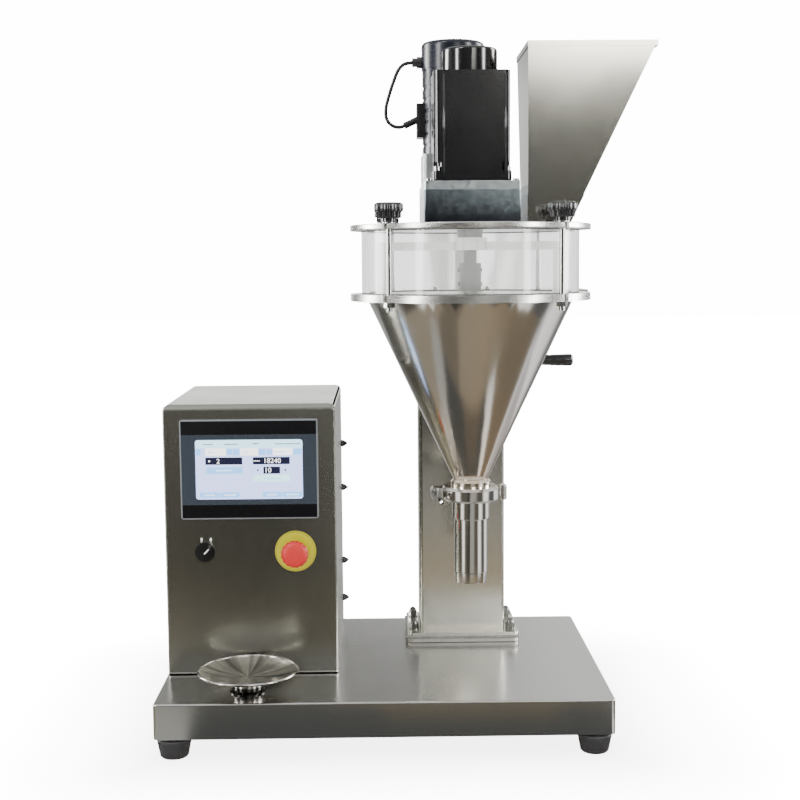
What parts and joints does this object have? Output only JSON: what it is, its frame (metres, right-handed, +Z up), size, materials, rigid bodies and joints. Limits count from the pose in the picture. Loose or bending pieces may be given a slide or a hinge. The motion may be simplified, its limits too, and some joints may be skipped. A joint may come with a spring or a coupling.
{
  "type": "auger powder filler",
  "caption": "Bench auger filler: clear-ringed hopper on a crank-lift column, vertical auger nozzle over a steel base, control cabinet with touch panel, inlet chute.",
  "frame": {"origin": "middle of the bottom of the whole machine's box, on the surface it stands on", "axes": "+Z up, the control panel and the nozzle face -Y, the inlet chute is at +X"},
  "size_m": [0.7042, 0.4964, 1.0065],
  "materials": {
    "brushed_steel": "brushed stainless steel sheet",
    "cabinet_steel": "brushed stainless sheet, darker front",
    "polished_steel": "polished stainless steel",
    "satin_steel": "satin stainless sheet",
    "bolt_steel": "bright steel fasteners",
    "zinc": "mottled zinc-coated steel",
    "cast_aluminium": "cast aluminium",
    "machine_steel": "machined steel",
    "black_rubber": "black rubber",
    "silicone": "white silicone seal",
    "clear_acrylic": "clear acrylic tube",
    "black_motor": "gloss black enamel",
    "navy_motor": "dark navy enamel",
    "black_plastic": "moulded black plastic",
    "panel_plastic": "dark blue-grey bezel",
    "panel_glass": "lit display",
    "stop_red": "red moulded plastic",
    "stop_yellow": "yellow ring",
    "nylon": "natural nylon",
    "brass": "brass",
    "lead_black": "black cable sheath",
    "grey_electrics": "grey enamel and sheet"
  },
  "bodies": {
    "machine_base": {"base_housing": "brushed_steel", "base_bottom_plate": "brushed_steel", "rubber_feet": "black_rubber", "foot_bolts": "bolt_steel", "column_mount_plates": "satin_steel", "column": "brushed_steel", "column_cap": "satin_steel", "column_bearings": "nylon", "column_bolts": "bolt_steel", "cabinet_shell": "cabinet_steel", "cabinet_rear_cover": "cabinet_steel", "cabinet_screws": "black_plastic", "cabinet_electrics": "grey_electrics", "rear_sockets": "black_plastic", "panel_bezel": "panel_plastic", "panel_screen": "panel_glass", "switch_bodies": "black_plastic", "estop_ring": "stop_yellow"},
    "lift_head": {"lift_post": "satin_steel", "lift_rack": "machine_steel", "post_guide": "nylon", "filling_tip": "polished_steel", "filling_tube": "polished_steel", "filling_collar": "polished_steel", "clamp_rings": "polished_steel", "clamp_bolts": "bolt_steel", "hopper_cone": "polished_steel", "hopper_plate": "satin_steel", "hopper_ring": "clear_acrylic", "hopper_gaskets": "silicone", "hopper_cover": "satin_steel", "tie_rods": "bolt_steel", "head_screws": "bolt_steel", "gearbox_housing": "zinc", "gearbox_lid": "zinc", "gear_bearings": "machine_steel", "auger_motor": "black_motor", "agitator_gearhead": "cast_aluminium", "agitator_motor": "navy_motor", "motor_terminals": "black_plastic", "motor_lead": "lead_black", "inlet_chute": "satin_steel"},
    "crank": {"crank_shaft": "machine_steel", "crank_arm": "machine_steel"},
    "crank_handle": {"crank_grip": "black_plastic"},
    "auger": {"auger_screw": "polished_steel", "auger_drive": "machine_steel"},
    "agitator": {"agitator_frame": "satin_steel", "agitator_gear": "machine_steel"},
    "agitator_drive": {"agitator_pinion": "machine_steel"},
    "lock": {"lock_knob": "black_plastic"},
    "selector": {"selector_knob": "black_plastic"},
    "stop_plunger": {"estop_plunger": "stop_red"},
    "stop_head": {"estop_mushroom": "stop_red"},
    "wing_nut": {"clamp_wing_nut": "bolt_steel"},
    "dish": {"catch_dish": "polished_steel"},
    "knob_1": {"cover_knob_1": "black_plastic"},
    "knob_2": {"cover_knob_2": "black_plastic"},
    "knob_3": {"cover_knob_3": "black_plastic"},
    "knob_4": {"cover_knob_4": "black_plastic"}
  },
  "joints": [
    {"name": "head_lift", "type": "slide", "parent": "machine_base", "child": "lift_head", "axis": [0, 0, 1], "range_m": [0, 0.15]},
    {"name": "crank_turn", "type": "hinge", "parent": "machine_base", "child": "crank", "pos_m": [0.15795, 0.16135, 0.5895], "axis": [1, 0, 0], "range_deg": [-637, 0]},
    {"name": "crank_grip_spin", "type": "hinge", "parent": "crank", "child": "crank_handle", "pos_m": [0.24595, 0.16135, 0.5245], "axis": [1, 0, 0], "continuous": true},
    {"name": "auger_spin", "type": "hinge", "parent": "lift_head", "child": "auger", "pos_m": [0.09595, -0.07725, 0.5], "axis": [0, 0, 1], "continuous": true},
    {"name": "agitator_spin", "type": "hinge", "parent": "lift_head", "child": "agitator", "pos_m": [0.09595, -0.07725, 0.7], "axis": [0, 0, 1], "continuous": true},
    {"name": "agitator_pinion_spin", "type": "hinge", "parent": "lift_head", "child": "agitator_drive", "pos_m": [0.09595, 0.02675, 0.75655], "axis": [0, 0, 1], "continuous": true},
    {"name": "lock_knob_turn", "type": "hinge", "parent": "machine_base", "child": "lock", "pos_m": [0.00795, 0.12535, 0.5865], "axis": [1, 0, 0], "range_deg": [0, 360]},
    {"name": "selector_turn", "type": "hinge", "parent": "machine_base", "child": "selector", "pos_m": [-0.29205, -0.08225, 0.2655], "axis": [0, 1, 0], "range_deg": [-90, 0]},
    {"name": "estop_press", "type": "slide", "parent": "machine_base", "child": "stop_plunger", "axis": [0, 1, 0], "range_m": [0, 0.004], "stiffness_N_per_m": 800},
    {"name": "estop_twist", "type": "hinge", "parent": "stop_plunger", "child": "stop_head", "pos_m": [-0.16005, -0.09725, 0.2655], "axis": [0, -1, 0], "range_deg": [-45, 0], "stiffness_Nm_per_rad": 0.2},
    {"name": "wing_nut_turn", "type": "hinge", "parent": "lift_head", "child": "wing_nut", "pos_m": [0.04595, -0.09725, 0.3505], "axis": [0, 1, 0], "continuous": true},
    {"name": "dish_lift", "type": "slide", "parent": "machine_base", "child": "dish", "axis": [0, 0, 1], "range_m": [0, 0.12]},
    {"name": "cover_knob_1_turn", "type": "hinge", "parent": "lift_head", "child": "knob_1", "pos_m": [-0.02051, -0.19129, 0.74655], "axis": [0, 0, 1], "continuous": true},
    {"name": "cover_knob_2_turn", "type": "hinge", "parent": "lift_head", "child": "knob_2", "pos_m": [0.21241, -0.19129, 0.74655], "axis": [0, 0, 1], "continuous": true},
    {"name": "cover_knob_3_turn", "type": "hinge", "parent": "lift_head", "child": "knob_3", "pos_m": [0.21241, 0.0368, 0.74655], "axis": [0, 0, 1], "continuous": true},
    {"name": "cover_knob_4_turn", "type": "hinge", "parent": "lift_head", "child": "knob_4", "pos_m": [-0.02051, 0.0368, 0.74655], "axis": [0, 0, 1], "continuous": true}
  ],
  "couplings": [
    {"joint": "crank_turn", "follows": "head_lift", "rad_per_m": -74.074},
    {"joint": "agitator_pinion_spin", "follows": "agitator_spin", "ratio": -1.08}
  ]
}
